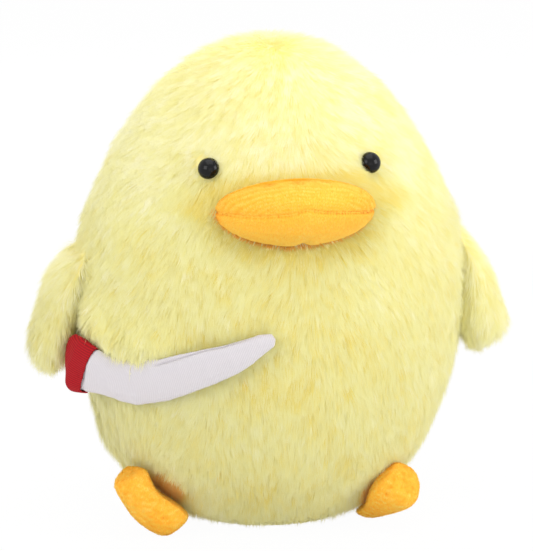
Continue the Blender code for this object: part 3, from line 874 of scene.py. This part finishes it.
foot = {
    "voxel": 0.002, "inset": 0.0005, "ease": 2,
    "swell": {"stretch": 15, "bend": 0.5, "pressure": 4, "frames": 14, "cap": 0.0012},
    "nap": dict(billCloth["nap"], tint=0.25, density=5.5),
    # rim: painted shade where the foot meets the body
    "tuckIn": 0.004, "rim": (1.04, 0.97), "rimShade": 0.30, "forward": -0.4,
    "patches": (0.07, 0.012), "specks": (0.16, 0.0016),
    "pushes": {
        "left": [
            ((0.052, -0.050, 0.028), 0.014, (-0.0065, -0.0026, 0.0036)),
            ((0.062, -0.050, 0.041), 0.010, (-0.0055, -0.0030, 0.0030)),
            ((0.0775, -0.058, 0.022), 0.012, (-0.0015, 0, 0)),
        ],
        "right": [
            ((-0.086, -0.046, 0.048), 0.018, (-0.0002, -0.0010, -0.0046)),
            ((-0.067, -0.047, 0.033), 0.012, (-0.0042, 0, -0.0034)),
            ((-0.082, -0.050, 0.014), 0.013, (-0.0026, 0, -0.0010)),
        ],
    },
}


def fitFoot(points, normals):  # painted shade where it meets the body, with fleecy patches and specks
    (patch, patchSize), (speck, speckSize) = foot["patches"], foot["specks"]
    shade = foot["rimShade"] * nearBody(points, *foot["rim"])
    shade = shade + patch * ripple(points, patchSize, 8) + speck * ripple(points, speckSize, 9)
    return {"keep": insideBody(points, -foot["tuckIn"]) > 1.0, "shade": shade}


def combFoot(points, normals):
    return np.stack([0 * points[:, 0], foot["forward"] + 0 * points[:, 0], -np.ones(len(points))], 1)


def shapeFoot(sideName):
    return lambda points, normals: -normals * foot["inset"] + pushed(points, foot["pushes"][sideName])


for sideName, side in (("left", 1), ("right", -1)):
    nodes = [f"{sideName}_foot_{part}" for part in ("upper", "sole", "stuffing")]
    skin = cadCopy(f"{sideName}FootSkin", nodes, orangeCloth, foot["voxel"])
    swell(skin, foot["swell"])
    reshape(skin, shapeFoot(sideName), foot["ease"])
    refine(skin)
    footPile = growPile(skin, foot["nap"], combFoot, fitFoot, seed=40 + side)
    wearPile(f"{sideName}FootNap", footPile, orangeNap, f"{sideName}_foot", "orange_feet")
    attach(skin, f"{sideName}_foot")
    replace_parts(skin, *nodes)
print("feet made")


# Knife: a padded blade and a handle, both of ribbed cloth

knife = {
    "waist": 0.108, "squash": 1.19,  # the round that the knife lies on
    "ribHeight": 0.0002, "ribWobble": 0.6, "roughness": 0.8, "gloss": 0.25,
    "blade": {
        "nodes": ("knife_blade_front", "knife_blade_back", "knife_stuffing"), "voxel": 0.0010,
        # depth: share of the colour left in the rib grooves, painted shade
        "rib": 0.0010, "slant": 20, "colour": srgb(207, 202, 206), "depth": 0.92, "bump": 0.25,
        "swell": {"stretch": 15, "bend": 0.5, "pressure": 4, "frames": 12, "cap": 0.0008},
    },
    "handle": {
        "nodes": ("knife_handle_outer", "knife_handle_inner"), "voxel": 0.0007, "ease": 2,
        # depth: share of the colour left in the rib grooves, painted shade
        "rib": 0.0012, "slant": 106, "colour": srgb(173, 15, 27), "depth": 0.60, "bump": 0.5,
    },
    "pushes": [
        ((-0.0160, -0.0985, 0.1200), 0.013, (-0.0024, 0, 0.0022)),
        ((-0.109, -0.044, 0.104), 0.011, (-0.0026, 0.0010, 0)),
        ((-0.110, -0.038, 0.090), 0.009, (-0.0062, 0.0005, -0.0020)),
        ((-0.1058, -0.0505, 0.1102), 0.0026, (0.0003, 0.0011, 0)),
        ((-0.1085, -0.047, 0.103), 0.0030, (-0.0002, -0.0007, 0)),
    ],
    "handlePushes": [
        ((-0.117, -0.034, 0.096), 0.013, (-0.0034, -0.0002, -0.0032)),
        ((-0.1180, -0.0225, 0.0845), 0.0095, (0.0085, -0.0010, 0.0030)),
    ],
    "fold": [  # the line along the top edge, x and z
        (-0.079, 0.1090), (-0.075, 0.1108), (-0.068, 0.1140), (-0.060, 0.1175), (-0.052, 0.1209),
        (-0.044, 0.1229), (-0.033, 0.1263), (-0.023, 0.1282), (-0.018, 0.1290),
    ],
    "foldDepth": 0.0016, "foldEdge": (-0.0002, 0.0003), "groove": 0.35, "grooveLine": (0.0003, 0.0005),
    "foldStart": (-0.080, -0.074), "foldEnd": (-0.036, -0.022),
    "pucker": 0.00035, "puckerSize": 0.007, "puckerRun": (0.07, 0.1),
}


def foldBlade(points, normals):  # the back panel stands behind the front one along the top edge
    x, y, z = points.T
    over = z - readShare(knife["fold"], x)
    behind = smoothStep(over, *knife["foldEdge"]) + knife["groove"] * hill(over, *knife["grooveLine"])
    behind = behind * smoothStep(x, *knife["foldStart"]) * (1 - smoothStep(x, *knife["foldEnd"]))
    puckers = knife["pucker"] * ripple(points, knife["puckerSize"], 12) * smoothStep(-x, *knife["puckerRun"])
    return pushed(points, knife["pushes"]) + normals * (puckers - knife["foldDepth"] * behind)[:, None]


def ribbedCloth(name, settings):  # fine knitted ribs along the map's lines, with painted shade in their grooves
    material, tree, surface = newMaterial(name)
    place = addNode(tree, "ShaderNodeUVMap", {"uv_map": "weave"}).outputs[0]
    slant = (0, 0, math.radians(settings["slant"]))
    turned = addNode(tree, "ShaderNodeMapping", inputs={"Vector": place, "Rotation": slant})
    ribs = addNode(  # a wave of scale 1 is 0.314 long
        tree, "ShaderNodeTexWave", {"bands_direction": "X"},
        {
            "Vector": turned.outputs[0], "Scale": 0.314 / settings["rib"],
            "Distortion": knife["ribWobble"], "Detail": 2.0, "Detail Scale": 3.0,
        },
    )
    # painted shade: the grooves between the ribs are darker by this share
    grooveShade = tuple(c * settings["depth"] for c in settings["colour"])
    tone = addRamp(tree, ribs.outputs["Fac"], [(0.1, grooveShade), (0.8, settings["colour"])])
    tree.links.new(tone, surface.inputs["Base Color"])
    bump = addNode(
        tree, "ShaderNodeBump",
        inputs={"Strength": settings["bump"], "Distance": knife["ribHeight"], "Height": ribs.outputs["Fac"]},
    )
    tree.links.new(bump.outputs[0], surface.inputs["Normal"])
    surface.inputs["Roughness"].default_value = knife["roughness"]
    surface.inputs["Specular IOR Level"].default_value = knife["gloss"]
    return material


def mapWeave(piece):  # metres along the knife, round the belly, and metres up
    co = corners(piece.data)
    along = knife["waist"] * np.arctan2(-co[:, 1] * knife["squash"], -co[:, 0])
    loops = np.empty(len(piece.data.loops), np.int32)
    piece.data.loops.foreach_get("vertex_index", loops)
    places = np.stack([along, co[:, 2]], 1)[loops].astype(np.float32)
    piece.data.uv_layers.new(name="weave").uv.foreach_set("vector", places.ravel())


blade = cadCopy(
    "knifeBlade", knife["blade"]["nodes"], ribbedCloth("whiteTricot", knife["blade"]), knife["blade"]["voxel"]
)
swell(blade, knife["blade"]["swell"])
refine(blade)
reshape(blade, foldBlade)
handle = cadCopy(
    "knifeHandle", knife["handle"]["nodes"], ribbedCloth("redTricot", knife["handle"]), knife["handle"]["voxel"]
)
handlePushes = knife["pushes"] + knife["handlePushes"]
reshape(handle, lambda points, normals: pushed(points, handlePushes), knife["handle"]["ease"])
for piece, slotName, nodes in (
    (blade, "white_tricot", knife["blade"]["nodes"]), (handle, "red_tricot", knife["handle"]["nodes"]),
):
    mapWeave(piece)
    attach(piece, "knife")
    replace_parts(piece, *nodes)
print("knife made")


# The pile above the knife climbs over its edge

fringe = {
    "pile": dict(yellowPile, density=3.5, lift=0.0090, reach=0.0085, rows=3, pull=0.35, bow=0.9, droop=1.6),
    "edge": [  # the knife's top edge, x and z
        (-0.1000, 0.1250), (-0.0946, 0.1195), (-0.0821, 0.1140), (-0.0744, 0.1130), (-0.0671, 0.1150),
        (-0.060, 0.118),
    ],
    "band": 0.014, "start": (-0.101, -0.094), "end": (-0.078, -0.064), "least": 0.02,
    "settle": 0.4, "settleHeights": (0.004, 0.014), "lumps": 0.04, "lumpSize": 0.008,
}


def fitFringe(points, normals):
    x, y, z = points.T
    above = z - readShare(fringe["edge"], x)
    ends = smoothStep(x, *fringe["start"]) * (1 - smoothStep(x, *fringe["end"]))
    keep = (y < 0) * (above > 0) * (above < fringe["band"]) * (ends > fringe["least"])
    climb = (1 - fringe["settle"] * smoothStep(above, *fringe["settleHeights"])) * (0.5 + 0.5 * ends)
    return {"keep": keep.astype(float), "lift": climb + fringe["lumps"] * ripple(points, fringe["lumpSize"], 4)}


fringePile = growPile(bodySkin, fringe["pile"], combBody, fitFringe, seed=77)
wearPile("fringeOverKnife", fringePile, furYellow, "torso", "yellow_fur")

washerPlastic = clothMaterial("washerPlastic", (0.7, 0.7, 0.68), 0.4)
for sideName in ("left", "right"):
    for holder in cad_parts[f"{sideName}_eye_washer"].material_slots:
        holder.material = washerPlastic

print("done")
